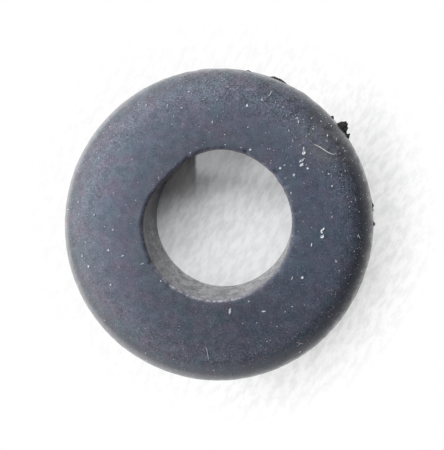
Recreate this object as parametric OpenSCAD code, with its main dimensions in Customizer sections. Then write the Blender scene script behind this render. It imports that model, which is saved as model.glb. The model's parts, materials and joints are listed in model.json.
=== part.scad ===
// Cable grommet: one moulded ring of soft rubber that lines the edge of a round
// hole in a sheet panel.  The panel sits in the groove round the neck, a domed
// flange on each side holds it there, and the cable runs through the bore.
// The grommet stands on one flange, with its bore along Z and its base at z = 0.
// Sections are drawn in the X-Z half plane, as [distance from the axis, height].

/* [Overall] */
// Diameter over the flanges
outer_d = 20; // [18:0.5:26]
// Height from the bottom face to the top face
overall_h = 8; // [7:0.5:11]

/* [Cable bore] */
// Diameter of the bore that the cable runs through
bore_d = 9.5; // [5:0.25:12]
// Radius of the lip where the bore meets each face
lip_r = 0.25; // [0.1:0.05:0.5]

/* [Panel groove] */
// Diameter at the root of the groove, which is the hole to cut in the panel
panel_hole_d = 14; // [11:0.25:17]
// Width of the groove, which is the thickness of the panel
panel_t = 1.6; // [1:0.1:2.6]
// Radius in the two inside corners at the root of the groove
root_r = 0.4; // [0.1:0.05:0.5]

/* [Flanges] */
// How far the domed face falls from its crest to the crest of the shoulder
dome_drop = 0.3; // [0.1:0.05:0.8]
// How much is trimmed off the dome's crest, to leave the flat ring that the grommet rests on
crest_trim = 0.01; // [0.01:0.01:0.05]
// Height of the straight band round the outer edge, below the rounded shoulder
edge_h = 0.15; // [0.1:0.05:0.5]
// Radius of the corner between that band and the groove
edge_r = 0.15; // [0.1:0.05:0.5]

/* [Moulding flash] */
// Thickness of the scraps of flash left where the mould parted
flash_t = 0.1; // [0.05:0.05:0.3]
// How far the largest scrap stands out from the flange
flash_reach = 0.45; // [0.2:0.05:0.8]

/* [Hidden] */
$fn = 128;
dome_sides = 512;   // the dome is a short arc of a large circle, so it needs more sides

bore_r = bore_d / 2;
outer_r = outer_d / 2;
neck_r = panel_hole_d / 2;
lip_x = bore_r + lip_r;
lip_z = overall_h - lip_r;
mid_z = overall_h / 2;
groove_z = mid_z + panel_t / 2;    // underside of the upper flange
corner_z = groove_z + edge_r;
shoulder_z = corner_z + edge_h;
parting_z = corner_z + edge_h / 2; // middle of the upper flange's straight band

// The face is a dome with its crest over the bore's wall, trimmed flat beside
// the bore.  The dome and the shoulder are arcs that share a tangent where they
// meet, so their centres and the meeting point lie on one straight line, the seam.
crest_z = overall_h + crest_trim;
shoulder_r = crest_z - dome_drop - shoulder_z;
shoulder_x = outer_r - shoulder_r;
dome_run = shoulder_x - bore_r;
centres = (pow(dome_run, 2) + pow(dome_drop, 2)) / (2 * dome_drop);
dome_r = centres + shoulder_r;
dome_z = crest_z - dome_r;
seam_turn = asin(dome_run / centres);

SHOULDER = [shoulder_x, shoulder_z];
SEAM_TOP = [shoulder_x + (overall_h - shoulder_z) * tan(seam_turn), overall_h];

// Angle round the axis, length along the edge and reach of each scrap of flash,
// with length and reach as multiples of flash_reach
FLASH = [[39, 2.6, 1], [46, 1.2, 0.45], [69, 3, 0.25], [7, 1.6, 0.35], [1, 1, 0.3]];
flash_root = edge_r;               // how deep each scrap is rooted in the flange

// Rectangle from one corner to the opposite one
module block(low, high) {
    translate(low) square(high - low);
}

// Disc centred on a point of the section
module disc(centre, r) {
    translate(centre) circle(r);
}

// Wall round the bore, from mid height up to its rounded lip, with the neck
module bore_wall() {
    block([bore_r, mid_z], [neck_r, groove_z]);
    block([bore_r, mid_z], [lip_x + lip_r, lip_z]);
    disc([lip_x, lip_z], lip_r);
}

// Slab of the upper flange below its curves, with a rounded corner at the groove
module flange_slab() {
    block([bore_r, groove_z], [outer_r - edge_r, shoulder_z]);
    block([bore_r, corner_z], [outer_r, shoulder_z]);
    disc([outer_r - edge_r, corner_z], edge_r);
}

// Domed part of the face, from the lip to the seam, trimmed flat at its crest
module dome() {
    intersection() {
        disc([bore_r, dome_z], dome_r, $fn = dome_sides);
        polygon([[lip_x, shoulder_z], [lip_x, overall_h], SEAM_TOP, SHOULDER]);
    }
}

// Rounded shoulder, from the seam to the straight band
module shoulder() {
    intersection() {
        disc(SHOULDER, shoulder_r);
        polygon([SHOULDER, SEAM_TOP, [outer_r + shoulder_r, overall_h],
                 [outer_r + shoulder_r, shoulder_z]]);
    }
}

// Fillet between the neck and the underside of the upper flange
module root_fillet() {
    difference() {
        block([neck_r - root_r, groove_z - root_r], [neck_r + root_r, groove_z + root_r]);
        disc([neck_r + root_r, groove_z - root_r], root_r);
    }
}

// Everything above mid height
module upper_half() {
    bore_wall();
    flange_slab();
    dome();
    shoulder();
    root_fillet();
}

// Scrap of flash: a thin fin that stands out of the flange's outer edge
module flash(turn, length, reach) {
    rotate([0, 0, turn])
        translate([outer_r, 0, parting_z - flash_t / 2])
            linear_extrude(flash_t)
                polygon([[-flash_root, -length / 2], [reach * 0.7, -length / 4], [reach, length / 8],
                         [reach * 0.4, length / 5], [-flash_root, length / 2]]);
}

module grommet() {
    color("#3b4150") {
        rotate_extrude() {
            upper_half();
            translate([0, overall_h]) mirror([0, 1]) upper_half();
        }
        for (scrap = FLASH)
            flash(scrap[0], scrap[1] * flash_reach, scrap[2] * flash_reach);
    }
}

grommet();
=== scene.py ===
import json
import math
from types import SimpleNamespace

import bpy
import numpy as np
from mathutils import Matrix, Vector


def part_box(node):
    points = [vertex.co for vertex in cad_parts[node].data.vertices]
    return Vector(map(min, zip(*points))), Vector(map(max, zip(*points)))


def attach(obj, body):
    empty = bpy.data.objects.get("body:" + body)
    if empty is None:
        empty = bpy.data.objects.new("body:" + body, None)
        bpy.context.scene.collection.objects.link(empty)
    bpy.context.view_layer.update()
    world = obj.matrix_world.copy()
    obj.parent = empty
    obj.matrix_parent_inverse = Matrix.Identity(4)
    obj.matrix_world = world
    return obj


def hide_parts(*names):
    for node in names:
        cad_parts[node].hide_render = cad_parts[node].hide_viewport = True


# A moulded rubber cable grommet lying on pale paper, seen from above.  Shapes are worked out in
# millimetres as numpy arrays and scaled once, when a mesh is made.  Angles round the ring are in
# degrees, anticlockwise from +X.  The pieces are the ring itself, its scraps of flash, and the dust
# and the lint that lie on it, and all of them ride on the one body of the part.

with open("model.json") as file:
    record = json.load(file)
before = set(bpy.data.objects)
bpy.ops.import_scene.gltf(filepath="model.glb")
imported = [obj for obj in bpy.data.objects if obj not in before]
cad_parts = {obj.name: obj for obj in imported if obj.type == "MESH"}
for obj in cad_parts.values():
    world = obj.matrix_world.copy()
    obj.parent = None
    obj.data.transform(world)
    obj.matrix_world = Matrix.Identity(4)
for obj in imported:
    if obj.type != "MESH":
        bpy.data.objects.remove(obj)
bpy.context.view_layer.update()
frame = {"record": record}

MM = 0.001
SEED = 7

# ---------------------------------------------------------------- sizes of the moulding, in mm

mounts = {mount["name"]: mount["dims"] for mount in frame["record"]["mounts"]}
top_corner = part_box("grommet")[1]
OUTER_R = top_corner.y / MM
HEIGHT = top_corner.z / MM
BORE_R = mounts["bore"]["r_mm"]
LIP_R = (HEIGHT - mounts["bore"]["length_mm"]) / 2
NECK_R = mounts["panel_groove"]["r_mm"]
GROOVE_W = mounts["panel_groove"]["length_mm"]
ROOT_R = 0.4        # fillets at the root of the groove
DOME_DROP = 0.3     # how far the face falls from its crest to the crest of the shoulder
CREST_TRIM = 0.01   # how much is trimmed off the crest to leave a flat land beside the bore
EDGE_H = 0.15       # height of the straight band round each flange
EDGE_R = 0.15       # corner between that band and the groove

MID_Z = HEIGHT / 2
GROOVE_Z = MID_Z + GROOVE_W / 2
CORNER_Z = GROOVE_Z + EDGE_R
SHOULDER_Z = CORNER_Z + EDGE_H
PARTING_Z = CORNER_Z + EDGE_H / 2

# The dome and the shoulder are arcs that share a tangent, so their centres and the place where
# they meet lie on one line, which leans SEAM_TURN degrees from upright
CREST_Z = HEIGHT + CREST_TRIM
SHOULDER_R = CREST_Z - DOME_DROP - SHOULDER_Z
SHOULDER_X = OUTER_R - SHOULDER_R
DOME_RUN = SHOULDER_X - BORE_R
CENTRES = (DOME_RUN ** 2 + DOME_DROP ** 2) / (2 * DOME_DROP)
DOME_R = CENTRES + SHOULDER_R
DOME_Z = CREST_Z - DOME_R
SEAM_TURN = math.degrees(math.asin(DOME_RUN / CENTRES))
LAND_TURN = math.degrees(math.acos((HEIGHT - DOME_Z) / DOME_R))
LAND_X = BORE_R + DOME_R * math.sin(math.radians(LAND_TURN))


# ---------------------------------------------------------------- shape helpers

def line(start, end, count):
    """Evenly spaced points from start towards end, the end itself left off."""
    share = np.linspace(0, 1, count, endpoint=False)[:, None]
    return np.array(start) + share * (np.array(end) - np.array(start))


def arc(centre, radius, start, end, count):
    """Points at centre + radius (cos a, sin a), with a going evenly from start towards end."""
    angle = np.radians(np.linspace(start, end, count, endpoint=False))
    return np.array(centre) + radius * np.stack([np.cos(angle), np.sin(angle)], 1)


def unit(vectors):
    """Each vector divided by its own length."""
    return vectors / np.linalg.norm(vectors, axis=-1, keepdims=True)


def bell(distance, width):
    """1 at no distance, falling as exp(-(distance / width) squared)."""
    return np.exp(-(distance / width) ** 2)


def step(value, low, high):
    """0 below low, 1 above high, and 3t^2 - 2t^3 between them."""
    t = np.clip((value - low) / (high - low), 0, 1)
    return t * t * (3 - 2 * t)


def turned(angle, towards):
    """Signed difference between two angles in degrees, from -180 to 180."""
    return (angle - towards + 180) % 360 - 180


def lattice_noise(points, cell, seed):
    """Smooth noise from 0 to 1: random values on a cubic lattice of that cell size, blended
    across each cell by the product of a smoothstep along each axis."""
    size = 64
    lattice = np.random.default_rng(seed).random((size, size, size))
    where = np.asarray(points) / cell + size
    base = np.floor(where).astype(int)
    blend = where - base
    blend = blend * blend * (3 - 2 * blend)
    total = np.zeros(where.shape[:-1])
    for corner in np.ndindex(2, 2, 2):
        share = np.prod(np.where(corner, blend, 1 - blend), axis=-1)
        index = (base + corner) % size
        total += share * lattice[index[..., 0], index[..., 1], index[..., 2]]
    return total


def layered_noise(points, layers, seed):
    """The sum over the layers of depth times noise from -0.5 to 0.5, each with its own cell size
    and the next seed."""
    return sum(depth * (lattice_noise(points, cell, seed + k) - 0.5)
               for k, (depth, cell) in enumerate(layers))


def grid_faces(rows, columns, wrap_rows=True):
    """Quads of a grid whose columns close on themselves, and whose rows do too if wrap_rows."""
    row = np.arange(rows if wrap_rows else rows - 1)[:, None]
    column = np.arange(columns)[None, :]
    next_row, next_column = (row + 1) % rows, (column + 1) % columns
    corners = [row * columns + column, next_row * columns + column,
               next_row * columns + next_column, row * columns + next_column]
    return np.stack([np.broadcast_to(c, (len(row), columns)) for c in corners], -1).reshape(-1, 4)


def capped_rows(tubes):
    """Points and faces of closed tubes: each tube is a grid of rows of points, whose rows close on
    themselves, with a point in the middle of its first row and of its last one as its two ends.
    Rows that turn anticlockwise as seen from the last one give faces that point outwards."""
    tubes = np.asarray(tubes)
    count, rows, columns = tubes.shape[:3]
    ends = np.stack([tubes[:, 0].mean(1), tubes[:, -1].mean(1)], 1)
    points = np.concatenate([tubes.reshape(count, -1, 3), ends], 1)
    first_end = rows * columns
    last_row = (rows - 1) * columns
    ring = np.arange(columns)
    ahead = (ring + 1) % columns
    start = np.stack([np.full(columns, first_end), ahead, ring], -1)
    finish = np.stack([np.full(columns, first_end + 1), last_row + ring, last_row + ahead], -1)
    fans, quads = np.concatenate([start, finish]), grid_faces(rows, columns, wrap_rows=False)
    offset = np.arange(count)[:, None, None] * points.shape[1]
    faces = [(offset + part).reshape(-1, part.shape[1]) for part in (fans, quads)]
    return points.reshape(-1, 3), faces


def smooth_through(points, count):
    """Evenly spaced points on a curve through the given ones: a cubic by each coordinate where
    there are four or more, a parabola or a straight line where there are fewer."""
    share = np.linspace(0, 1, len(points))
    degree = min(3, len(points) - 1)
    at = np.linspace(0, 1, count)
    return np.stack([np.polyval(np.polyfit(share, column, degree), at) for column in points.T], -1)


def new_piece(name, points, faces, material, smooth=True, **attributes):
    """A mesh object from points in millimetres, a list of face arrays and values per point."""
    mesh = bpy.data.meshes.new(name)
    mesh.from_pydata((points * MM).tolist(), [], [face for part in faces for face in part.tolist()])
    for label, values in attributes.items():
        layer = mesh.attributes.new(label, "FLOAT", "POINT")
        layer.data.foreach_set("value", values.astype(np.float32).ravel())
    mesh.polygons.foreach_set("use_smooth", [smooth] * len(mesh.polygons))
    mesh.materials.append(material)
    mesh.update()
    piece = bpy.data.objects.new(name, mesh)
    bpy.context.scene.collection.objects.link(piece)
    return piece


# ---------------------------------------------------------------- the moulded ring

RING_TURNS = 720
# Points along each stretch of the half section: wall, lip, land, dome, shoulder, outer edge,
# corner, groove side, root fillet and neck
FINE = (15, 12, 6, 14, 18, 6, 4, 5, 3, 2)
COARSE = (6, 5, 2, 5, 9, 4, 3, 3, 3, 1)


def half_section(counts):
    """Upper half of the section as [distance from the axis, height]: up the bore wall, over the
    lip, out across the flat land, over the dome and shoulder, and back in along the groove."""
    wall, lip, land, dome, shoulder, edge, corner, side, root, neck = counts
    return np.concatenate([
        line([BORE_R, MID_Z], [BORE_R, HEIGHT - LIP_R], wall),
        arc([BORE_R + LIP_R, HEIGHT - LIP_R], LIP_R, 180, 90, lip),
        line([BORE_R + LIP_R, HEIGHT], [LAND_X, HEIGHT], land),
        arc([BORE_R, DOME_Z], DOME_R, 90 - LAND_TURN, 90 - SEAM_TURN, dome),
        arc([SHOULDER_X, SHOULDER_Z], SHOULDER_R, 90 - SEAM_TURN, 0, shoulder),
        line([OUTER_R, SHOULDER_Z], [OUTER_R, CORNER_Z], edge),
        arc([OUTER_R - EDGE_R, CORNER_Z], EDGE_R, 0, -90, corner),
        line([OUTER_R - EDGE_R, GROOVE_Z], [NECK_R + ROOT_R, GROOVE_Z], side),
        arc([NECK_R + ROOT_R, GROOVE_Z - ROOT_R], ROOT_R, 90, 180, root),
        line([NECK_R, GROOVE_Z - ROOT_R], [NECK_R, MID_Z], neck),
    ])


def whole_section():
    """The upper half section, then the lower one as its mirror image, back to the start."""
    upper = half_section(FINE)
    lower = np.concatenate([half_section(COARSE)[1:], [[NECK_R, MID_Z]]])
    return np.concatenate([upper, lower[::-1] * (1, -1) + (0, HEIGHT)])


SECTION = whole_section()
ALONG = unit(np.roll(SECTION, -1, 0) - np.roll(SECTION, 1, 0))
NORMAL = np.stack([-ALONG[:, 1], ALONG[:, 0]], -1)
FACE = slice(FINE[0], sum(FINE[:6]) + 1)    # from the start of the lip to the outer edge

# The ring is a little oval, most at its rim, and its rim and its bore each differ a little from
# their drawn size and sit off centre, in mm
OVAL = 0.066
OVAL_AT_BORE = 0.4      # share of the ovalness left at the bore
OVAL_TOWARDS = 72       # angle of its long way
RIM_SWELL = 0.03
RIM_SHIFT = (-0.057, -0.11)
BORE_SWELL = -0.022
BORE_SHIFT = (0.06, 0.11)

# The upper end of the bore wall bulges inwards: how far all round and how much further on one
# side, in mm, the angle and half width of that side, the heights between which the bulge grows,
# and the distances from the axis between which it dies away over the face
BULGE = 0.06
BULGE_EXTRA = 0.42
BULGE_TOWARDS = 134
BULGE_HALF_WIDTH = 27
BULGE_GROWS = (HEIGHT - 2.5, HEIGHT - 0.2)
BULGE_DIES = (BORE_R + LIP_R, BORE_R + 1.2)

# Unevenness of the whole surface and raggedness of the lip: depth and cell size of each layer of
# noise, in mm, and how far from the lip its raggedness dies away
UNEVEN = ((0.05, 4.0), (0.022, 1.3), (0.008, 0.42))
RAGGED = ((0.05, 0.22), (0.04, 0.6))
RAGGED_REACH = 0.28
FACE_LEEWAY = 0.02      # the most that unevenness lifts the face, in mm

# Nicks torn in the lip of the bore: angle, half width and depth, the last two in mm
LIP_NICKS = ((68, 0.16, 0.15), (41, 0.22, 0.13), (30, 0.12, 0.09), (9, 0.10, 0.09),
             (-8, 0.15, 0.10), (-25, 0.12, 0.10), (-36, 0.20, 0.13), (-47, 0.14, 0.06),
             (-70, 0.12, 0.04), (-128, 0.16, 0.10), (-150, 0.12, 0.05), (112, 0.12, 0.04))

# The line left where the mould parted: mean height, noise and half width, and how far from the
# outer edge it begins and is whole, in mm
RIDGE = 0.027
RIDGE_NOISE = ((0.035, 0.5),)
RIDGE_HALF_WIDTH = 0.07
RIDGE_BEGINS = (OUTER_R - 0.1, OUTER_R - 0.02)

# Where the material's masks lie: depth below the face of the lip's line that carries a painted
# highlight, and its half width, in mm, and the parts of the normal, outward and upward, between
# which wall and steep sides begin
LIP_LINE = (0.08, 0.12)
WALL_BEGINS = (-0.35, -0.85)
STEEP_ENDS = (0.3, 0.8)


def torn_lip(angle, place):
    """How far the lip stands out from its true curve: ragged noise, less a bell for each nick."""
    torn = layered_noise(place, RAGGED, SEED + 3)
    for towards, half_width, depth in LIP_NICKS:
        torn -= depth * bell(np.radians(turned(angle, towards)) * BORE_R, half_width)
    return torn


def parting_ridge(height, radius, place):
    """Height of the ragged line left where the mould parted, round each flange's outer edge."""
    from_parting = np.abs(np.abs(height - MID_Z) - (PARTING_Z - MID_Z))
    ridge = RIDGE + layered_noise(place, RIDGE_NOISE, SEED + 5)
    return ridge * bell(from_parting, RIDGE_HALF_WIDTH) * step(radius, *RIDGE_BEGINS)


def inward_bulge(angle, radius, height):
    """How far the bore wall leans inwards: more towards its upper end, fading out over the face."""
    bulge = BULGE + BULGE_EXTRA * bell(turned(angle, BULGE_TOWARDS), BULGE_HALF_WIDTH)
    return bulge * (1 - step(radius, *BULGE_DIES)) * step(height, *BULGE_GROWS)


def off_true(angle, radius, outward):
    """X and Y of a place at that angle and distance from the axis once the ring is pulled oval and
    off centre, with outward going from 0 at the bore to 1 at the rim.  The oval adds the cosine of
    twice the angle from its long way."""
    a = np.radians(angle)
    inward = 1 - outward
    oval = OVAL * (outward + OVAL_AT_BORE * inward) * np.cos(2 * (a - math.radians(OVAL_TOWARDS)))
    radius = radius + oval + RIM_SWELL * outward + BORE_SWELL * inward
    x = radius * np.cos(a) + RIM_SHIFT[0] * outward + BORE_SHIFT[0] * inward
    y = radius * np.sin(a) + RIM_SHIFT[1] * outward + BORE_SHIFT[1] * inward
    return x, y


def moulded(angle, section, normal):
    """Places on the real ring for angles in degrees and points of the section with their normals:
    each point moves along its normal by slow undulations, fine unevenness, the torn lip and the
    parting ridge, the bore wall bulges, and the whole is pulled a little oval and off centre."""
    radius, height = section[..., 0], section[..., 1]
    a = np.radians(angle)
    place = np.stack([radius * np.cos(a), radius * np.sin(a), height + 0 * a], -1)

    push = layered_noise(place, UNEVEN, SEED)
    from_lip = np.hypot(radius - BORE_R, height - HEIGHT)
    push += torn_lip(angle, place) * bell(from_lip, RAGGED_REACH)
    push += parting_ridge(height, radius, place)

    outward = step(radius, BORE_R + LIP_R, SHOULDER_X)
    moved = radius + push * normal[..., 0] - inward_bulge(angle, radius, height)
    x, y = off_true(angle, moved, outward)
    z = np.clip(height + push * normal[..., 1], 0, HEIGHT + FACE_LEEWAY)
    return np.stack([x, y, z], -1)


def on_face(angle, radius):
    """Places on the upper face at those angles and distances from the axis, with the directions
    outwards from the face, round the ring, and down the face."""
    angle, radius = np.broadcast_arrays(np.asarray(angle, float), np.asarray(radius, float))
    rising = SECTION[FACE, 0]
    height = np.interp(radius, rising, SECTION[FACE, 1])
    normal = unit(np.stack([np.interp(radius, rising, NORMAL[FACE, k]) for k in (0, 1)], -1))
    place = moulded(angle, np.stack([radius, height], -1), normal)
    a = np.radians(angle)
    away = np.stack([normal[..., 0] * np.cos(a), normal[..., 0] * np.sin(a), normal[..., 1]], -1)
    around = np.stack([-np.sin(a), np.cos(a), 0 * a], -1)
    return place, away, around, np.cross(around, away)


def make_ring(material):
    """The grid of turns by section that is the whole ring, with how close each point is to the
    torn lip, how far it belongs to the bore wall and how steep it is as values for the material."""
    angle = np.linspace(0, 360, RING_TURNS, endpoint=False)[:, None]
    points = moulded(angle, SECTION, NORMAL)
    depth, half_width = LIP_LINE
    lip = bell(np.hypot(SECTION[:, 0] - BORE_R, SECTION[:, 1] - HEIGHT + depth), half_width)
    wall = step(NORMAL[:, 0], *WALL_BEGINS)
    steep = 1 - step(np.abs(NORMAL[:, 1]), *STEEP_ENDS)
    all_round = np.ones((RING_TURNS, 1))
    return new_piece("rubber_ring", points.reshape(-1, 3), [grid_faces(*points.shape[:2])], material,
                     lip_edge=all_round * lip, bore_wall=all_round * wall, steepness=all_round * steep)


# ---------------------------------------------------------------- scraps of moulding flash

# Each scrap: the angle of its middle, its length along the edge and its thickness in mm, and its
# reach at evenly spaced places along it, in mm, going anticlockwise
FLASH = ((37.2, 1.26, 0.36, (0.02, 0.16, 0.30, 0.14, 0.20, 0.34, 0.40, 0.47, 0.53, 0.50, 0.34, 0.04)),
         (43.4, 0.30, 0.16, (0.02, 0.13, 0.17, 0.03)),
         (67.6, 1.30, 0.10, (0.02, 0.08, 0.13, 0.16, 0.13, 0.15, 0.08, 0.02)),
         (78.6, 0.40, 0.09, (0.01, 0.07, 0.09, 0.02)),
         (7.1, 0.72, 0.10, (0.01, 0.09, 0.06, 0.13, 0.08, 0.02)),
         (1.0, 0.42, 0.10, (0.01, 0.12, 0.15, 0.06, 0.02)),
         (-52.0, 0.80, 0.08, (0.01, 0.04, 0.02, 0.05, 0.01)))
FLASH_ROOT = 0.12       # how deep a scrap is rooted in the flange, in mm
FLASH_THINNEST = 0.25   # thickness where it hardly reaches out, as a share of its own
FLASH_ROWS = 44
FLASH_SIDES = 16
# Tearing of its edge, as the least share of the reach that is left, the share that noise adds and
# the noise's cell size in mm, and of its faces, as a share of the thickness and a cell size
TORN_EDGE = (0.82, 0.36, 0.06)
TORN_FACES = (0.35, 0.10)


def flash_scrap(towards, length, thickness, reaches, seed):
    """A torn fin: at each place along the edge a closed loop, rounded at the tip, that reaches as
    far as the list says, broken up by noise, with its two faces pushed in and out by noise."""
    share = np.linspace(0, 1, FLASH_ROWS)[:, None]
    turn = np.linspace(0, 2 * np.pi, FLASH_SIDES, endpoint=False)[None, :]
    along = (share - 0.5) * length
    least, added, cell = TORN_EDGE
    ragged = lattice_noise(np.stack([along, 0 * along + seed, 0 * along], -1), cell, seed)
    reach = np.interp(share, np.linspace(0, 1, len(reaches)), reaches) * (least + added * ragged)
    out = (reach + FLASH_ROOT) * (0.5 + 0.5 * np.cos(turn)) - FLASH_ROOT
    up = 0.5 * thickness * np.clip(reach / max(reaches), FLASH_THINNEST, 1) * np.sin(turn)
    push, cell = TORN_FACES
    rough = lattice_noise(np.stack([along + 0 * turn, out, up], -1), cell, seed + 1) - 0.5
    x, y = off_true(towards + np.degrees(along / OUTER_R), OUTER_R + out, 1.0)
    return np.stack([x, y, PARTING_Z + up + push * thickness * rough], -1)


def make_flash(material):
    """All the scraps as one piece, each with its own seeds."""
    scraps = [flash_scrap(*row, SEED + 20 + 2 * k) for k, row in enumerate(FLASH)]
    points, faces = capped_rows(scraps)
    return new_piece("flash_scraps", points, faces, material, smooth=False)


# ---------------------------------------------------------------- dust and lint

# The larger specks: angle round the ring, distance from the axis, width and length in mm, and the
# way the long side points, anticlockwise from +X
LARGE_SPECKS = (
    (42, 7.3, 0.10, 0.30, 90), (40.5, 7.15, 0.23, 0.27, 90), (38, 6.75, 0.12, 0.40, 35),
    (36, 6.55, 0.20, 0.30, 20), (33, 6.75, 0.14, 0.17, 0), (42, 5.35, 0.14, 0.18, 60),
    (33.5, 5.75, 0.13, 0.18, 60), (23.5, 5.1, 0.11, 0.15, 60), (66, 5.15, 0.14, 0.17, 45),
    (53.5, 8.4, 0.11, 0.13, 0), (52, 8.25, 0.06, 0.40, 80), (75.5, 7.75, 0.12, 0.24, 85),
    (70, 8.35, 0.13, 0.18, 90), (45.5, 8.55, 0.10, 0.13, 0), (-4.5, 6.65, 0.22, 0.22, 0),
    (-2, 6.6, 0.10, 0.30, 100), (-0.5, 6.7, 0.09, 0.26, 55), (-10.5, 6.05, 0.07, 0.26, 80),
    (-30, 6.25, 0.14, 0.20, 60), (-3, 8.9, 0.05, 0.25, 60), (-3.5, 9.0, 0.05, 0.25, 120),
    (-15, 7.8, 0.15, 0.22, 120), (-34.5, 5.75, 0.06, 0.26, 75), (-60.5, 6.05, 0.09, 0.26, 0),
    (-67, 5.2, 0.10, 0.12, 0), (-81, 5.45, 0.15, 0.36, 80), (-163, 8.35, 0.15, 0.16, 0),
    (-168, 8.6, 0.13, 0.16, 0), (-168, 6.85, 0.11, 0.13, 45), (-178.5, 6.45, 0.11, 0.13, 0),
    (-151.5, 7.45, 0.12, 0.14, 0), (-152.5, 5.3, 0.05, 0.30, 30), (173.5, 9.6, 0.07, 0.36, 0),
    (174, 7.65, 0.12, 0.15, 90), (169.5, 8.85, 0.11, 0.15, 60), (149, 8.55, 0.12, 0.15, 0),
    (119.5, 8.75, 0.10, 0.13, 0), (111, 8.15, 0.13, 0.15, 0), (105.5, 7.7, 0.10, 0.12, 0),
    (101, 8.55, 0.10, 0.14, 0))

SMALL_SPECKS = 620
SPECKS_BETWEEN = (5.0, 9.75)    # distances from the axis between which the small ones lie, in mm
TRIES = 8                       # places drawn for each small speck that is wanted
# Their width in mm: the least, what each unit of a gamma draw adds, and the largest draw used.
# How much longer than wide they are, as a share of the width, is drawn in the same way.
SPECK_WIDTH = (0.018, 0.0145, 3.5)
SPECK_STRETCH = (0.0, 0.8, 2.2)
SPECK_HEIGHT = 0.7      # height of a speck as a share of its width
SPECK_LIFT = 0.2        # how high its middle sits above the face, as a share of its width
SPECK_LUMPS = 0.5       # how much its points are pushed in and out, as a share of its size
SPECK_RINGS = 3
SPECK_SIDES = 6

# Crowding of the small specks: all round, then how much more, angle and half width of each
# crowded side; and by the distance from the axis: everywhere, more beside the bore within a half
# width in mm, and more on the shoulder, between two distances
CROWD = 0.14
CROWDED_SIDES = ((0.58, 45, 20), (0.40, 75, 65), (0.28, -15, 35), (0.24, 190, 24))
CROWD_WITHIN = 0.45
CROWD_AT_BORE = (0.9, 0.3)
CROWD_AT_SHOULDER = (0.55, 7.6, 8.9)


def speck_places(count, rng):
    """Angles and distances from the axis for small specks, spread evenly over the face and kept
    where a random draw falls under the crowding there."""
    nearest, farthest = SPECKS_BETWEEN
    angle = rng.uniform(0, 360, count * TRIES)
    radius = np.sqrt(rng.uniform(nearest ** 2, farthest ** 2, count * TRIES))
    crowd = CROWD + sum(more * bell(turned(angle, towards), half_width)
                        for more, towards, half_width in CROWDED_SIDES)
    at_bore, bore_width = CROWD_AT_BORE
    at_shoulder, low, high = CROWD_AT_SHOULDER
    crowd *= (CROWD_WITHIN + at_bore * bell(radius - nearest, bore_width)
              + at_shoulder * step(radius, low, high))
    kept = np.flatnonzero(rng.random(count * TRIES) < crowd)[:count]
    return angle[kept], radius[kept]


def gamma_draws(count, rng, least, unit_adds, largest):
    """Least plus unit_adds times a gamma draw of shape 1, held at the largest draw used."""
    return least + unit_adds * rng.gamma(1.0, 1.0, count).clip(0, largest)


def small_specks(rng):
    """Rows for the small specks, as in the list of the larger ones."""
    angle, radius = speck_places(SMALL_SPECKS, rng)
    count = len(angle)
    width = gamma_draws(count, rng, *SPECK_WIDTH)
    length = width * (1 + gamma_draws(count, rng, *SPECK_STRETCH))
    return np.stack([angle, radius, width, length, rng.uniform(0, 180, count)], -1)


def speck_shape():
    """A ball of a few rings between two poles, unit size."""
    polar = np.radians(np.linspace(0, 180, SPECK_RINGS + 2))[1:-1, None]
    turn = np.linspace(0, 2 * np.pi, SPECK_SIDES, endpoint=False)[None, :]
    return np.stack([np.sin(polar) * np.cos(turn), np.sin(polar) * np.sin(turn),
                     np.cos(polar) + 0 * turn], -1)


def make_dust(material):
    """Every speck is the unit ball with its points pushed in and out by its own noise, squashed
    onto the face and stretched along its own heading in the face."""
    rng = np.random.default_rng(SEED + 40)
    angle, radius, width, length, heading = np.concatenate([small_specks(rng), LARGE_SPECKS]).T
    place, away, around, down = on_face(angle, radius)
    lie = np.radians(heading - angle)[:, None]
    long_way = np.cos(lie) * down + np.sin(lie) * around
    cross_way = np.cross(away, long_way)

    ball = speck_shape()
    lumps = 1 + SPECK_LUMPS * (rng.random((len(angle), *ball.shape[:2], 1)) - 0.5)
    along, across, up = np.moveaxis(ball * lumps, -1, 0)[..., None]
    place, away, long_way, cross_way = (v[:, None, None, :] for v in (place, away, long_way, cross_way))
    width, length = (size[:, None, None, None] for size in (width, length))
    points = (place + away * SPECK_LIFT * width + along * long_way * length / 2
              + across * cross_way * width / 2 + up * away * SPECK_HEIGHT * width / 2)
    points, faces = capped_rows(points)
    return new_piece("dust_specks", points, faces, material)


# Lint fibres that lie on the face: places as angle and distance from the axis, and the fibre's
# radius, in mm
LINT = ((((40.5, 7.95), (38.0, 8.15), (35.1, 8.26), (32.6, 8.53), (32.0, 8.77)), 0.026),
        (((68.0, 9.10), (67.8, 8.90), (68.2, 8.72)), 0.020),
        (((-93.0, 8.20), (-93.6, 7.70), (-94.6, 7.35)), 0.011),
        (((-53.0, 9.15), (-54.6, 8.80)), 0.012))
LINT_WAVES = ((0.4, 9), (0.6, 4))   # size and frequency of each wave in a fibre's height
LINT_LIFT = (0.9, 0.5)              # height of its middle and of its waves, in fibre radii
LINT_TAPER = (0.04, 0.96)           # the stretch of a half sine by which its ends grow thin
LINT_POINTS = 32
LINT_SIDES = 7


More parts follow.
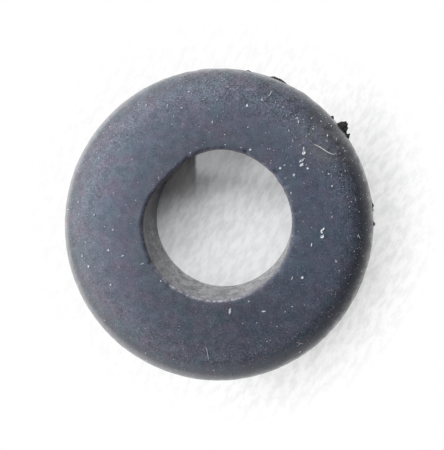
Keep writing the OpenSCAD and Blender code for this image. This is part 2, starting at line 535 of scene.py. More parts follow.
def fibre(places, thickness, rng):
    """A round thread through those places, on a spline of them, tapered at both ends as the root
    of a half sine and a little wavy, lying on the face."""
    angle, radius = smooth_through(np.array(places), LINT_POINTS).T
    place, away = on_face(angle, radius)[:2]
    ahead = unit(np.gradient(place, axis=0))
    beside = unit(np.cross(away, ahead))
    share = np.linspace(0, 1, LINT_POINTS)
    wave = sum(size * np.sin(often * share + rng.uniform(0, 6)) for size, often in LINT_WAVES)
    from_share, to_share = LINT_TAPER
    taper = np.sqrt(np.sin(np.pi * (from_share + (to_share - from_share) * share)))
    lift, waviness = LINT_LIFT
    middle = place + away * (lift + waviness * wave[:, None]) * thickness
    turn = np.linspace(0, 2 * np.pi, LINT_SIDES, endpoint=False)[None, :, None]
    round_it = np.cos(turn) * beside[:, None] + np.sin(turn) * away[:, None]
    return middle[:, None] + thickness * taper[:, None, None] * round_it


def make_lint(material):
    """All the fibres as one piece."""
    rng = np.random.default_rng(SEED + 60)
    points, faces = capped_rows([fibre(places, thickness, rng) for places, thickness in LINT])
    return new_piece("lint_fibres", points, faces, material)


# ---------------------------------------------------------------- node helpers

def feed(tree, socket, value):
    """Gives a socket its value: a link if it is another node's output, else a constant."""
    if isinstance(value, bpy.types.NodeSocket):
        tree.links.new(value, socket)
    else:
        socket.default_value = value


def add(tree, kind, inputs=None, **settings):
    """A node with its settings; each input is a constant or another node's output."""
    node = tree.nodes.new(kind)
    for name, value in settings.items():
        setattr(node, name, value)
    for name, value in (inputs or {}).items():
        feed(tree, node.inputs[name], value)
    return node


def math_node(tree, operation, first, second, clamp=False):
    """The output of one arithmetic node."""
    return add(tree, "ShaderNodeMath", {0: first, 1: second}, operation=operation,
               use_clamp=clamp).outputs[0]


def plus(tree, first, second):
    """The sum of two values."""
    return math_node(tree, "ADD", first, second)


def less(tree, first, second):
    """The first value less the second."""
    return math_node(tree, "SUBTRACT", first, second)


def times(tree, first, second):
    """The product of two values."""
    return math_node(tree, "MULTIPLY", first, second)


def ranged(tree, value, low, high, to_low=0.0, to_high=1.0):
    """The value taken smoothly from one range to another, held at its ends."""
    return add(tree, "ShaderNodeMapRange",
               {"Value": value, "From Min": low, "From Max": high, "To Min": to_low, "To Max": to_high},
               interpolation_type="SMOOTHSTEP").outputs["Result"]


def by_mask(tree, mask, without, within):
    """A value that goes smoothly from one number to another as a mask goes from 0 to 1."""
    return ranged(tree, mask, 0.0, 1.0, without, within)


def mixed(tree, share, first, second):
    """Two values mixed by a share."""
    return add(tree, "ShaderNodeMix", {0: share, 2: first, 3: second}).outputs[0]


def blended(tree, share, first, second, blend_type="MIX"):
    """Two colours mixed by a share."""
    return add(tree, "ShaderNodeMix", {0: share, 6: first, 7: second}, data_type="RGBA",
               blend_type=blend_type, clamp_factor=True).outputs[2]


def dot(tree, place, way):
    """How far a place lies along a direction: their dot product."""
    return add(tree, "ShaderNodeVectorMath", {0: place, 1: way}, operation="DOT_PRODUCT").outputs["Value"]


def grown_along(tree, place, where, way, low, high, amount):
    """An amount that grows along a direction between two distances in mm, within a mask."""
    return times(tree, where, ranged(tree, dot(tree, place, way), low, high, 0.0, amount))


def away_from(tree, place, middle=(0, 0, 0)):
    """The distance of a place from another one, or from the origin."""
    return add(tree, "ShaderNodeVectorMath", {0: place, 1: middle}, operation="DISTANCE").outputs["Value"]


def attribute(tree, name):
    """A value that the mesh holds for each point."""
    return add(tree, "ShaderNodeAttribute", attribute_name=name).outputs["Fac"]


def place_in_mm(tree):
    """Object coordinates in millimetres."""
    where = add(tree, "ShaderNodeTexCoord").outputs["Object"]
    return add(tree, "ShaderNodeVectorMath", {"Vector": where, "Scale": 1 / MM}, operation="SCALE").outputs[0]


def stretched(tree, place, scale, turn=0.0):
    """A place for a pattern that is to be turned about Z, in degrees, and drawn out by a scale."""
    return add(tree, "ShaderNodeMapping", {"Vector": place, "Rotation": (0, 0, math.radians(turn)),
                                           "Scale": scale}, vector_type="TEXTURE").outputs[0]


def new_group(name, takes, gives):
    """A shader node group with named sockets: the group, what it takes and what it gives."""
    group = bpy.data.node_groups.new(name, "ShaderNodeTree")
    for label, kind, value in takes:
        socket = group.interface.new_socket(name=label, in_out="INPUT", socket_type=kind)
        if value is not None:
            socket.default_value = value
    for label in gives:
        group.interface.new_socket(name=label, in_out="OUTPUT", socket_type="NodeSocketFloat")
    return group, group.nodes.new("NodeGroupInput").outputs, group.nodes.new("NodeGroupOutput").inputs


def placed(tree, group, **inputs):
    """One use of a group in a material, with its own values."""
    return add(tree, "ShaderNodeGroup", inputs, node_tree=group).outputs


def new_material(name):
    """A material with an empty tree but for its output and one Principled BSDF."""
    material = bpy.data.materials.new(name)
    material.use_nodes = True
    tree = material.node_tree
    tree.nodes.clear()
    shader = add(tree, "ShaderNodeBsdfPrincipled")
    add(tree, "ShaderNodeOutputMaterial", {"Surface": shader.outputs["BSDF"]})
    return material, tree, shader


def set_finish(tree, shader, colour, mask, roughness):
    """Gives the shader its colour, and a roughness from one value to another by a mask."""
    tree.links.new(colour, shader.inputs["Base Color"])
    tree.links.new(by_mask(tree, mask, *roughness), shader.inputs["Roughness"])


def set_bump(tree, shader, height, depth):
    """Gives the shader a normal that follows a height from 0 to 1, whose full depth is in mm."""
    node = add(tree, "ShaderNodeBump", {"Height": height, "Distance": depth * MM})
    tree.links.new(node.outputs["Normal"], shader.inputs["Normal"])


# ---------------------------------------------------------------- shared effects

PLACE_AND_SIZE = [("Place", "NodeSocketVector", None), ("Size", "NodeSocketFloat", 1.0)]
# Ranges of the noises and of the distance in a cell that are taken to masks from 0 to 1
MOTTLE_RANGE = (0.3, 0.7)
GRAIN_RANGE = (0.35, 0.65)
SPOT_RANGE = (0.42, 0.12)


def make_mottle():
    """Slow cloudy patches: noise whose cells have the given size in mm, as a mask."""
    group, takes, gives = new_group("cloudy_mottle", PLACE_AND_SIZE, ["Mask"])
    finer = math_node(group, "DIVIDE", 1.0, takes["Size"])
    noise = add(group, "ShaderNodeTexNoise", {"Vector": takes["Place"], "Scale": finer,
                                              "Detail": 2.5, "Roughness": 0.55}).outputs["Fac"]
    group.links.new(ranged(group, noise, *MOTTLE_RANGE), gives["Mask"])
    return group


def make_grain():
    """Fine grain of moulded or fibrous stuff: octaves of noise, as a height and as a mask."""
    group, takes, gives = new_group("fine_grain", PLACE_AND_SIZE, ["Height", "Mask"])
    finer = math_node(group, "DIVIDE", 1.0, takes["Size"])
    noise = add(group, "ShaderNodeTexNoise", {"Vector": takes["Place"], "Scale": finer,
                                              "Detail": 3.0, "Roughness": 0.65}).outputs["Fac"]
    group.links.new(noise, gives["Height"])
    group.links.new(ranged(group, noise, *GRAIN_RANGE), gives["Mask"])
    return group


def make_settled_dust():
    """Fine settled dust: round spots in a random share of the cells of a cell pattern, each as
    strong as its cell's own random value."""
    group, takes, gives = new_group("settled_dust",
                                    PLACE_AND_SIZE + [("Share", "NodeSocketFloat", 0.2)], ["Mask"])
    finer = math_node(group, "DIVIDE", 1.0, takes["Size"])
    cells = add(group, "ShaderNodeTexVoronoi", {"Vector": takes["Place"], "Scale": finer}).outputs
    drawn = add(group, "ShaderNodeSeparateColor", {"Color": cells["Color"]}).outputs
    spot = ranged(group, cells["Distance"], *SPOT_RANGE)
    present = math_node(group, "LESS_THAN", drawn["Red"], takes["Share"])
    group.links.new(times(group, spot, times(group, present, drawn["Green"])), gives["Mask"])
    return group


# ---------------------------------------------------------------- the rubber

# Below, a pair of numbers is where something begins and where it is whole, or its value without
# and with what its name says, and four numbers are a range that is read and the range it is taken
# to, both from first to last.

# The rubber's colour at distances from the axis in mm: dark beside the bore, a pale band on the
# shoulder that is partly dust bloom and partly painted sheen, darker again on the rim, and pale at
# its edge, partly bloom and partly a painted reflection of the paper seen at a grazing angle
RUBBER_TONES_AND_SHEEN = ((5.0, (0.058, 0.067, 0.098)), (5.75, (0.062, 0.071, 0.107)),
                (6.35, (0.071, 0.080, 0.120)), (7.1, (0.085, 0.096, 0.138)),
                (7.9, (0.101, 0.112, 0.152)), (8.35, (0.112, 0.121, 0.159)),
                (8.8, (0.087, 0.092, 0.121)), (9.2, (0.067, 0.070, 0.088)),
                (9.6, (0.074, 0.076, 0.090)), (9.83, (0.112, 0.114, 0.127)),
                (10.08, (0.170, 0.172, 0.185)))
TONES_END = 10.5    # distance from the axis at which the tones end, in mm

RUBBER_PLUM = (0.127, 0.096, 0.140, 1)
RUBBER_TEAL = (0.060, 0.116, 0.136, 1)
# Tints for painted shade on the rim's right side, painted light on its lower side and a painted reflection
# along its left edge
RIM_SHADE_TINT = (0.028, 0.030, 0.040, 1)
RIM_LIGHT_TINT = (0.155, 0.162, 0.190, 1)
EDGE_REFLECTION_TINT = (0.38, 0.38, 0.39, 1)
SIDE_TONE = (0.050, 0.054, 0.070, 1)
SIDE_WORN = (0.092, 0.096, 0.112, 1)
DIRT_BROWN = (0.160, 0.157, 0.160, 1)
WALL_GREY = (0.150, 0.147, 0.188, 1)
WALL_DARK = (0.068, 0.062, 0.088, 1)
# Tint of the painted highlight on the lip
LIP_HIGHLIGHT_TINT = (0.50, 0.49, 0.53, 1)
PIT_DARK = (0.020, 0.022, 0.030, 1)
DUST_GREY = (0.36, 0.38, 0.41, 1)

# Distances from the axis, in mm, between which each part of the rubber begins
SHOULDER_BEGINS = (6.7, 8.3)
SIDE_LIGHT_BEGINS = (7.6, 8.8)
SIDES_BEGIN = (7.6, 9.0)
RIM_BEGINS = (8.6, 9.1)
EDGE_BEGINS = (9.40, 9.70)

# What grows along a direction: the direction, the distances along it between which it grows, in
# mm, and its largest amount
SCUFFED_SHOULDER = ((0.64, 0.77, 0.0), 3.0, 8.0, 1.0)
# Painted shade on the right side of the rim
PAINTED_RIM_SHADE = ((1.0, 0.12, 0.0), 5.0, 9.2, 0.68)
# Painted light from the paper on the lower side of the rim
PAINTED_RIM_LIGHT = ((0.05, -1.0, 0.0), 5.5, 9.3, 0.45)
# A painted reflection of the lit paper along the rim's left edge
PAINTED_EDGE_REFLECTION = ((-0.94, -0.34, 0.0), -1.5, 5.5, 0.25)
# A painted highlight on the lower side of the lip
PAINTED_LIP_HIGHLIGHT = ((-0.26, -0.97, 0.0), 2.9, 4.4, 1.0)

# Patterns: cell sizes in mm, with the share of colour that the plum and the teal clouds let in
ELSEWHERE = (31.0, 17.0, 5.0)   # how far the second set of patterns lies from the first, in mm
GRAIN_SIZE = 0.10
COARSE_SIZE = 0.50
PLUM_CLOUDS = (1.2, 0.40)
TEAL_CLOUDS = (0.9, 0.36)
WALL_STRETCH = (1.0, 1.0, 3.0)  # the wall's patterns are drawn out along the bore
PATCH_SIZE = 0.50
BROKEN_SIZE = 0.18

# The bloom and painted light: how much paler its red, green and blue are for each mm along X and
# Y, a painted light that is stronger towards the upper left; how much paler it is on the sides
# along X than on those along Y, inside the shoulder and on it, painted light and shade that differ
# round the ring; how strong its grain is inside the shoulder, on it and more where it is scuffed;
# and how strong its clouds are off the scuffs and on them
LIGHT_LEANS = ((-0.025, 0.012, 0.0), (-0.020, 0.014, 0.0), (-0.015, 0.015, 0.0))
SIDE_LIGHT = (0.13, -0.02)
SPECKLE = (0.42, 0.58)
SPECKLE_SCUFFED = 0.48
CLOUDS = (0.28, 0.46)

# The bloom ends between two heights, in mm, below which the sides have their own tone in this share
BLOOM_ENDS = (4.9, 5.8)
SIDE_SHARE = 0.80

# The smudge of dirt: its middle, the distances at which it begins and is strongest, in mm, the
# cell size of its clouds and its share
DIRT_AT = (7.0, 5.4, 7.3)
DIRT_BEGINS = (3.0, 0.6)
DIRT_CLOUDS = 0.5
DIRT_SHARE = 0.6

LIP_BROKEN = (0.2, 0.8, 0.15, 1.0)    # how the grain breaks up the lip's white line

# Pits and settled dust: the cell size in mm and the share of the cells that hold one, the share of
# colour, for the dust off the shoulder and on it, and how deep they are beside the grain
PITS = (0.16, 0.2)
SETTLED = (0.14, 0.33)
PIT_SHARE = 0.9
SETTLED_SHARE = (0.25, 0.65)
DUST_RELIEF = 0.5

RUBBER_ROUGHNESS = (0.44, 0.60)
RUBBER_SPECULAR = 0.25
RUBBER_BUMP = 0.012     # in mm

# The thin coat on steep places: its weight by patches and by grain, how much less there is up the
# bore wall, by the height in mm, and its weight across the bore wall along one direction, in mm
COAT_BY_PATCH = (1.04, 0.52)
COAT_BY_GRAIN = (0.2, 1.0, 1.0, 0.65)
COAT_UNDER_LIP = (2.0, 7.4, 0.0, 0.35)
RUBBED_WAY = (0.85, -0.53, 0.0)
COAT_RUBBED = (-4.2, 2.5, 0.62, 1.35)
COAT_ROUGHNESS = 0.2
COAT_IOR = 1.5


def rubber_tone_and_sheen(tree, radius):
    """The rubber's colour and painted sheen by its distance from the axis in mm, even between two tones."""
    ramp = add(tree, "ShaderNodeValToRGB", {"Fac": math_node(tree, "DIVIDE", radius, TONES_END)})
    stops = ramp.color_ramp.elements
    while len(stops) < len(RUBBER_TONES_AND_SHEEN):
        stops.new(0.5)
    for stop, (distance, colour) in zip(stops, RUBBER_TONES_AND_SHEEN):
        stop.position = distance / TONES_END
        stop.color = (*colour, 1)
    return ramp.outputs["Color"]


def rubber_places(tree, mottle, grain):
    """What several steps of the rubber read: places in mm, the distance from the axis, its grain
    and coarse clouds, its shoulder, and the bore wall with the patterns drawn out along it."""
    place = place_in_mm(tree)
    split = add(tree, "ShaderNodeSeparateXYZ", {"Vector": place}).outputs
    flat = add(tree, "ShaderNodeCombineXYZ", {"X": split["X"], "Y": split["Y"]}).outputs[0]
    radius = away_from(tree, flat)
    elsewhere = add(tree, "ShaderNodeVectorMath", {0: place, 1: ELSEWHERE}, operation="ADD").outputs[0]
    drawn_out = stretched(tree, place, WALL_STRETCH)
    fine = placed(tree, grain, Place=place, Size=GRAIN_SIZE)
    return SimpleNamespace(
        place=place, elsewhere=elsewhere, x=split["X"], y=split["Y"], z=split["Z"], radius=radius,
        fine=fine["Mask"], fine_height=fine["Height"],
        coarse=placed(tree, mottle, Place=elsewhere, Size=COARSE_SIZE)["Mask"],
        shoulder=ranged(tree, radius, *SHOULDER_BEGINS),
        wall=attribute(tree, "bore_wall"),
        patches=placed(tree, mottle, Place=drawn_out, Size=PATCH_SIZE)["Mask"],
        broken=placed(tree, grain, Place=drawn_out, Size=BROKEN_SIZE)["Mask"])


def clouded(tree, at, colour, mottle):
    """Plum clouds over the colour, and teal ones elsewhere over them."""
    for place, tint, (size, share) in ((at.place, RUBBER_PLUM, PLUM_CLOUDS),
                                       (at.elsewhere, RUBBER_TEAL, TEAL_CLOUDS)):
        clouds = placed(tree, mottle, Place=place, Size=size)["Mask"]
        colour = blended(tree, times(tree, clouds, share), colour, tint)
    return colour


def bloomed_and_lit(tree, at, colour):
    """The colour times a bloom and painted light: 1, plus a painted difference in light between the
    sides by (x^2 - y^2) / r^2, plus grain and clouds that are stronger where the shoulder is scuffed,
    each times 1 plus a lean that paints the light stronger towards the upper left."""
    scuffed = grown_along(tree, at.place, at.shoulder, *SCUFFED_SHOULDER)
    strength = plus(tree, by_mask(tree, at.shoulder, *SPECKLE), times(tree, scuffed, SPECKLE_SCUFFED))
    speckle = times(tree, less(tree, at.fine, 0.5), strength)
    clouds = times(tree, less(tree, at.coarse, 0.5), by_mask(tree, scuffed, *CLOUDS))
    x2, y2, r2 = (math_node(tree, "POWER", value, 2.0) for value in (at.x, at.y, at.radius))
    painted_sides = math_node(tree, "DIVIDE", less(tree, x2, y2), r2)
    painted_sides = times(tree, painted_sides, ranged(tree, at.radius, *SIDE_LIGHT_BEGINS, *SIDE_LIGHT))
    even = plus(tree, plus(tree, 1.0, painted_sides), plus(tree, speckle, clouds))
    # Each lean paints light that grows stronger towards the upper left
    red, green, blue = (times(tree, even, plus(tree, 1.0, dot(tree, at.place, lean)))
                        for lean in LIGHT_LEANS)
    bloom_and_light = add(tree, "ShaderNodeCombineColor", {"Red": red, "Green": green, "Blue": blue}).outputs[0]
    return blended(tree, 1.0, colour, bloom_and_light, "MULTIPLY")


def rimmed(tree, at, colour):
    """The rim with painted shade on its right side and painted light on its lower side, with a painted
    reflection of the lit paper along its left edge, and below the bloom the mottled tone of the
    steep sides."""
    rim = ranged(tree, at.radius, *RIM_BEGINS)
    colour = blended(tree, grown_along(tree, at.place, rim, *PAINTED_RIM_SHADE), colour, RIM_SHADE_TINT)
    colour = blended(tree, grown_along(tree, at.place, rim, *PAINTED_RIM_LIGHT), colour, RIM_LIGHT_TINT)
    edge = ranged(tree, at.radius, *EDGE_BEGINS)
    colour = blended(tree, grown_along(tree, at.place, edge, *PAINTED_EDGE_REFLECTION), colour, EDGE_REFLECTION_TINT)
    below = times(tree, ranged(tree, at.z, *BLOOM_ENDS, SIDE_SHARE, 0.0),
                  ranged(tree, at.radius, *SIDES_BEGIN))
    return blended(tree, below, colour, blended(tree, at.coarse, SIDE_TONE, SIDE_WORN))


def smudged(tree, at, colour, mottle):
    """A cloudy smudge of dirt round one place."""
    near = ranged(tree, away_from(tree, at.place, DIRT_AT), *DIRT_BEGINS)
    smudge = times(tree, near, placed(tree, mottle, Place=at.place, Size=DIRT_CLOUDS)["Mask"])
    return blended(tree, times(tree, smudge, DIRT_SHARE), colour, DIRT_BROWN)


def bore_toned(tree, at, colour):
    """The broken grey of the bore wall, and a painted highlight on the torn lip's lower side, broken up by
    the grain.
    """
    colour = blended(tree, at.wall, colour, blended(tree, at.broken, WALL_GREY, WALL_DARK))
    lip_highlight = grown_along(tree, at.place, attribute(tree, "lip_edge"), *PAINTED_LIP_HIGHLIGHT)
    lip_highlight = times(tree, lip_highlight, ranged(tree, at.broken, *LIP_BROKEN))
    return blended(tree, lip_highlight, colour, LIP_HIGHLIGHT_TINT)


def spotted(tree, at, colour, dust):
    """The colour with small dark pits and pale settled dust, and how far these stand out."""
    pits = placed(tree, dust, Place=at.elsewhere, Size=PITS[0], Share=PITS[1])["Mask"]
    colour = blended(tree, times(tree, pits, PIT_SHARE), colour, PIT_DARK)
    settled = placed(tree, dust, Place=at.place, Size=SETTLED[0], Share=SETTLED[1])["Mask"]
    share = times(tree, settled, by_mask(tree, at.shoulder, *SETTLED_SHARE))
    return blended(tree, share, colour, DUST_GREY), times(tree, less(tree, settled, pits), DUST_RELIEF)


def coat_weight(tree, at):
    """Weight of the thin coat: the steepness, times patches and grain, less towards the upper end
    of the bore wall, and across that wall more on the side that is rubbed smooth."""
    worn = times(tree, by_mask(tree, at.patches, *COAT_BY_PATCH), ranged(tree, at.broken, *COAT_BY_GRAIN))
    under_lip = times(tree, at.wall, ranged(tree, at.z, *COAT_UNDER_LIP))
    worn = times(tree, worn, less(tree, 1.0, under_lip))
    rubbed = ranged(tree, dot(tree, at.place, RUBBED_WAY), *COAT_RUBBED)
    worn = times(tree, worn, mixed(tree, at.wall, 1.0, rubbed))
    return math_node(tree, "MULTIPLY", attribute(tree, "steepness"), worn, clamp=True)


def make_rubber(mottle, grain, dust):
    """Blue-grey moulded rubber: tones and painted sheen by distance from the axis under clouds, bloom
    with painted light, a rim with painted shade, light and reflection, dirt, a bore wall with a
    painted highlight on its lip, pits and settled dust, with a thin coat on its steep places."""
    material, tree, shader = new_material("blue_grey_rubber")
    at = rubber_places(tree, mottle, grain)
    colour = rubber_tone_and_sheen(tree, at.radius)
    colour = clouded(tree, at, colour, mottle)
    colour = bloomed_and_lit(tree, at, colour)
    colour = rimmed(tree, at, colour)
    colour = smudged(tree, at, colour, mottle)
    colour = bore_toned(tree, at, colour)
    colour, relief = spotted(tree, at, colour, dust)
    set_finish(tree, shader, colour, at.fine, RUBBER_ROUGHNESS)
    set_bump(tree, shader, plus(tree, at.fine_height, relief), RUBBER_BUMP)
    shader.inputs["Specular IOR Level"].default_value = RUBBER_SPECULAR
    tree.links.new(coat_weight(tree, at), shader.inputs["Coat Weight"])
    shader.inputs["Coat Roughness"].default_value = COAT_ROUGHNESS
    shader.inputs["Coat IOR"].default_value = COAT_IOR
    return material


# ---------------------------------------------------------------- torn flash, dust and lint

TORN_DARK = (0.012, 0.012, 0.013, 1)
TORN_GREY = (0.060, 0.058, 0.056, 1)
TORN_SHARE = 0.5            # share of grey where the patches are strongest
TORN_DUST = 0.4             # share of dust on its spots
TORN_ROUGHNESS = (0.6, 0.9)
TORN_BUMP = 0.03            # in mm

DUST_WHITE = (0.87, 0.90, 0.94, 1)
DUST_DULL = (0.37, 0.39, 0.43, 1)
DULLED = (0.2, 1.0, 0.0, 0.9)       # how the clouds let the dull grey in
DUST_ROUGHNESS = (0.75, 0.95)
DUST_BUMP = 0.01            # in mm

LINT_WHITE = (0.82, 0.83, 0.84, 1)
LINT_GREY = (0.52, 0.53, 0.54, 1)
LINT_ROUGHNESS = (0.6, 0.85)
LINT_SHEEN = 0.3


def make_torn_rubber(mottle, grain, dust):
    """Torn flash: nearly black, rough, with greyer broken facets and a little dust."""
    material, tree, shader = new_material("torn_black_rubber")
    place = place_in_mm(tree)
    patches = placed(tree, mottle, Place=place, Size=0.22)["Mask"]
    colour = blended(tree, times(tree, patches, TORN_SHARE), TORN_DARK, TORN_GREY)
    spots = placed(tree, dust, Place=place, Size=0.09, Share=0.12)["Mask"]
    colour = blended(tree, times(tree, spots, TORN_DUST), colour, DUST_GREY)
    fine = placed(tree, grain, Place=place, Size=0.05)
    set_finish(tree, shader, colour, fine["Mask"], TORN_ROUGHNESS)
    set_bump(tree, shader, fine["Height"], TORN_BUMP)
    return material


def make_dust_finish(mottle, grain):
    """Mineral and paper dust: near white to grey from speck to speck, quite matt."""
    material, tree, shader = new_material("pale_dust")
    place = place_in_mm(tree)
    clouds = placed(tree, mottle, Place=place, Size=0.35)["Mask"]
    colour = blended(tree, ranged(tree, clouds, *DULLED), DUST_WHITE, DUST_DULL)
    fine = placed(tree, grain, Place=place, Size=0.03)
    set_finish(tree, shader, colour, fine["Mask"], DUST_ROUGHNESS)
    set_bump(tree, shader, fine["Height"], DUST_BUMP)
    return material


def make_lint_finish(mottle, grain):
    """Cotton lint: off white, with slightly darker stretches and a soft sheen."""
    material, tree, shader = new_material("white_lint")
    place = place_in_mm(tree)
    clouds = placed(tree, mottle, Place=place, Size=0.3)["Mask"]
    fine = placed(tree, grain, Place=place, Size=0.02)
    set_finish(tree, shader, blended(tree, clouds, LINT_WHITE, LINT_GREY), fine["Mask"], LINT_ROUGHNESS)
    shader.inputs["Sheen Weight"].default_value = LINT_SHEEN
    return material


# ---------------------------------------------------------------- the paper

PAPER_WHITE = (0.90, 0.90, 0.89, 1)
PAPER_GREY = (0.60, 0.61, 0.62, 1)
PAPER_SHADE = (0.46, 0.42, 0.41, 1)
PAPER_ROUGHNESS = (0.85, 0.95)
PAPER_SPECULAR = 0.2
PAPER_BUMP = 0.06       # in mm

# Streaks pressed in the paper: their turn in degrees, how they are drawn out and their cell size
# in mm; then the cell size of the clouds, and the shares of grey by clouds and by streaks
STREAK_TURN = -28
STREAK_STRETCH = (1.0, 2.4, 1.0)
STREAK_SIZE = 0.45
PAPER_CLOUDS = 2.2
GREY_BY_CLOUDS = 0.25
GREY_BY_STREAKS = 0.75

# In one corner of the bore lies a shade with an upright edge: what is past that edge, and how the
# shade deepens along Y.  The rest is as for the rubber's directions, in mm.
PAST_SHADE = ((1.0, 0.0, 0.0), -2.05, -1.8, 1.0)
SHADE_DEEPENS = ((0.0, 1.0, 0.0), 0.8, 2.1, 0.45)

# How much white glow is painted over the paper, as painted light.  In the bore it grows in two
# steps along one direction, towards the lower right, and once more along Y past the shade, less a
# little in the right half.  Round the ring it goes from the first to the second near value along
# the way in which the ring's shade falls, so the lit side is painted whiter, and up to the far
# value within the reach in mm of the rim.  The streaks show through a little.
BORE_LIGHT_WAY = (0.45, -0.893, 0.0)
BORE_LIGHT_STEPS = ((-3.6, -0.6, 0.0, 0.30), (-0.6, 2.2, 0.0, 0.26))
BORE_LIGHT_TOP = ((0.0, 1.0, 0.0), 2.3, 3.9, 0.25)
RIGHT_HALF = ((1.0, 0.0, 0.0), -0.3, 1.2, 1.0)
RIGHT_LIGHT_LESS = ((0.0, 1.0, 0.0), 0.6, 2.4, 0.07)
BORE_LIGHT_STREAKS = (1.03, 0.93)
BORE_GLOW = (0.965, 0.985, 1.0, 1)
SHADED_WAY = (0.94, -0.34, 0.0)
SHADED_BETWEEN = (3.0, 9.0)
RING_LIGHT_NEAR = (0.98, 0.54)
RING_LIGHT_FAR = 1.16
RING_LIGHT_REACH = 5.8
RING_LIGHT_STREAKS = (1.05, 0.88)
PURE_WHITE = (1, 1, 1, 1)


def paper_places(tree, mottle, grain):
    """What several steps of the paper read: places and distance from the axis in mm, the streaks
    and clouds, what lies outside the ring's foot, and what is past the shade's edge."""
    place = place_in_mm(tree)
    radius = away_from(tree, place)
    streaks = placed(tree, grain, Place=stretched(tree, place, STREAK_STRETCH, STREAK_TURN),
                     Size=STREAK_SIZE)
    return SimpleNamespace(
        place=place, radius=radius, streaks=streaks["Mask"], streak_height=streaks["Height"],
        clouds=placed(tree, mottle, Place=place, Size=PAPER_CLOUDS)["Mask"],
        outside=math_node(tree, "GREATER_THAN", radius, NECK_R),
        past_shade=grown_along(tree, place, 1.0, *PAST_SHADE))


def paper_colour(tree, at):
    """White to grey by clouds and streaks, with a darker corner of shade within the bore."""
    grey = plus(tree, times(tree, at.clouds, GREY_BY_CLOUDS), times(tree, at.streaks, GREY_BY_STREAKS))
    within = times(tree, less(tree, 1.0, at.past_shade), less(tree, 1.0, at.outside))
    shade = grown_along(tree, at.place, within, *SHADE_DEEPENS)
    return blended(tree, shade, blended(tree, grey, PAPER_WHITE, PAPER_GREY), PAPER_SHADE)


def painted_bore_light(tree, at):
    """How much white glow is painted over the paper within the bore, as painted light."""
    across = dot(tree, at.place, BORE_LIGHT_WAY)
    painted_glow = plus(tree, *(ranged(tree, across, *rise) for rise in BORE_LIGHT_STEPS))
    painted_glow = plus(tree, painted_glow, grown_along(tree, at.place, at.past_shade, *BORE_LIGHT_TOP))
    right_half = grown_along(tree, at.place, 1.0, *RIGHT_HALF)
    painted_glow = less(tree, painted_glow, grown_along(tree, at.place, right_half, *RIGHT_LIGHT_LESS))
    return times(tree, painted_glow, by_mask(tree, at.streaks, *BORE_LIGHT_STREAKS))


def painted_ring_light(tree, at):
    """How much white glow is painted over the paper round the ring, as painted light that is whiter on the
    lit side.
    """
    near = ranged(tree, dot(tree, at.place, SHADED_WAY), *SHADED_BETWEEN, *RING_LIGHT_NEAR)
    painted_glow = ranged(tree, at.radius, OUTER_R, OUTER_R + RING_LIGHT_REACH, near, RING_LIGHT_FAR)
    return times(tree, painted_glow, by_mask(tree, at.streaks, *RING_LIGHT_STREAKS))


def make_paper(mottle, grain):
    """Pale paper pressed with slanting streaks, as colour and bump.  Seen by the camera, in a
    reflection or through glass, it glows white by the shares above, which paint light over it."""
    material, tree, shader = new_material("pale_paper")
    at = paper_places(tree, mottle, grain)
    set_finish(tree, shader, paper_colour(tree, at), at.streaks, PAPER_ROUGHNESS)
    set_bump(tree, shader, at.streak_height, PAPER_BUMP)
    shader.inputs["Specular IOR Level"].default_value = PAPER_SPECULAR

    rays = add(tree, "ShaderNodeLightPath").outputs
    mirrored = math_node(tree, "MAXIMUM", rays["Is Glossy Ray"], rays["Is Transmission Ray"])
    seen = math_node(tree, "MAXIMUM", rays["Is Camera Ray"], mirrored)
    painted_glow = mixed(tree, at.outside, painted_bore_light(tree, at), painted_ring_light(tree, at))
    glow = add(tree, "ShaderNodeEmission", {"Color": blended(tree, at.outside, BORE_GLOW, PURE_WHITE),
                                            "Strength": 1.0})
    both = add(tree, "ShaderNodeMixShader", {0: times(tree, seen, painted_glow), 1: shader.outputs["BSDF"],
                                             2: glow.outputs["Emission"]})
    surface = next(node for node in tree.nodes if node.type == "OUTPUT_MATERIAL").inputs["Surface"]
    tree.links.new(both.outputs["Shader"], surface)
    return material


# ---------------------------------------------------------------- floor, light and camera

FLOOR_HALF = 400.0      # in mm


def make_floor(material):
    """One square of paper under the ring, large enough to fill any view."""
    corners = np.array([[-1, -1, 0], [1, -1, 0], [1, 1, 0], [-1, 1, 0]]) * FLOOR_HALF
    floor = new_piece("floor", corners, [np.array([[0, 1, 2, 3]])], material)


SKY = 0.02              # strength of the even white world

# Distant soft lights: compass angle, elevation, spread of the light and share of the light that a
# level surface gets, with 1 for what makes white paper white
SUNS = ((0, 90, 25, 0.165), (90, 66, 20, 0.21), (180, 66, 20, 0.15), (135, 66, 20, 0.085),
        (210, 12, 25, 0.11), (180, 12, 25, 0.07), (150, 12, 25, 0.055), (120, 12, 25, 0.07),
        (90, 12, 25, 0.06))

# One soft box close by, which makes the light fall off across the ring: compass angle,
# elevation, distance and width in mm, and share of the light
BOX = (180, 55, 40, 25, 0.06)


def aimed(name, lamp, compass, elevation):
    """An object that holds the lamp and shines from a compass angle and an elevation, and the
    direction it shines from."""
    a, e = math.radians(compass), math.radians(elevation)
    way = Vector((math.cos(a) * math.cos(e), math.sin(a) * math.cos(e), math.sin(e)))
    light = bpy.data.objects.new(name, lamp)
    light.rotation_euler = way.to_track_quat("Z", "Y").to_euler()
    bpy.context.scene.collection.objects.link(light)
    return light, way


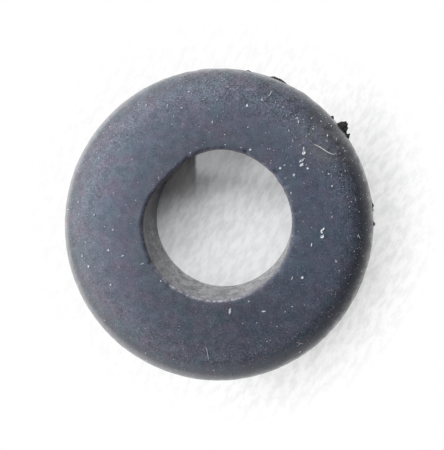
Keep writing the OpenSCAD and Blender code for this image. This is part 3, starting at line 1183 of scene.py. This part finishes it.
def sun(name, compass, elevation, spread, share):
    """A distant lamp, as strong on a level surface as its share says."""
    lamp = bpy.data.lights.new(name, "SUN")
    lamp.angle = math.radians(spread)
    lamp.energy = math.pi * share / math.sin(math.radians(elevation))
    aimed(name, lamp, compass, elevation)


def soft_box(compass, elevation, distance, width, share):
    """A square lamp facing the middle of the upper face, as strong there as its share says."""
    lamp = bpy.data.lights.new("soft_box", "AREA")
    lamp.size = width * MM
    lamp.energy = (math.pi * distance * MM) ** 2 * share / math.sin(math.radians(elevation))
    light, way = aimed("soft_box", lamp, compass, elevation)
    light.location = way * distance * MM + Vector((0, 0, HEIGHT * MM))
    light.visible_camera = False


def make_light():
    """An even world, the distant lights and the soft box."""
    world = bpy.data.worlds.new("soft_sky")
    world.use_nodes = True
    background = world.node_tree.nodes["Background"]
    background.inputs["Color"].default_value = PURE_WHITE
    background.inputs["Strength"].default_value = SKY
    bpy.context.scene.world = world
    for k, row in enumerate(SUNS):
        sun(f"sun_{k}", *row)
    soft_box(*BOX)


# The camera above the ring: its place, its turns about X and Y in radians, and its focal length,
# nearest and farthest limits of view, in mm
CAMERA_AT = (4.33, 4.22, 71.34)
CAMERA_TURN = (-0.0645, 0.0621, 0)
CAMERA_LENS = 82.2
CAMERA_LIMITS = (1, 10000)


def make_camera():
    """The camera, looking down at the ring a little from one side."""
    data = bpy.data.cameras.new("camera")
    data.lens = CAMERA_LENS
    data.clip_start, data.clip_end = (limit * MM for limit in CAMERA_LIMITS)
    camera = bpy.data.objects.new("camera", data)
    camera.location = Vector(CAMERA_AT) * MM
    camera.rotation_euler = CAMERA_TURN
    bpy.context.scene.collection.objects.link(camera)
    bpy.context.scene.camera = camera


# ---------------------------------------------------------------- the scene

bpy.context.scene.view_settings.view_transform = "Standard"
make_camera()
make_light()

mottle, grain, dust = make_mottle(), make_grain(), make_settled_dust()
make_floor(make_paper(mottle, grain))

ring = make_ring(make_rubber(mottle, grain, dust))
flash = make_flash(make_torn_rubber(mottle, grain, dust))
specks = make_dust(make_dust_finish(mottle, grain))
lint = make_lint(make_lint_finish(mottle, grain))

for piece in (ring, flash, specks, lint):
    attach(piece, "root")
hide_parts("grommet")
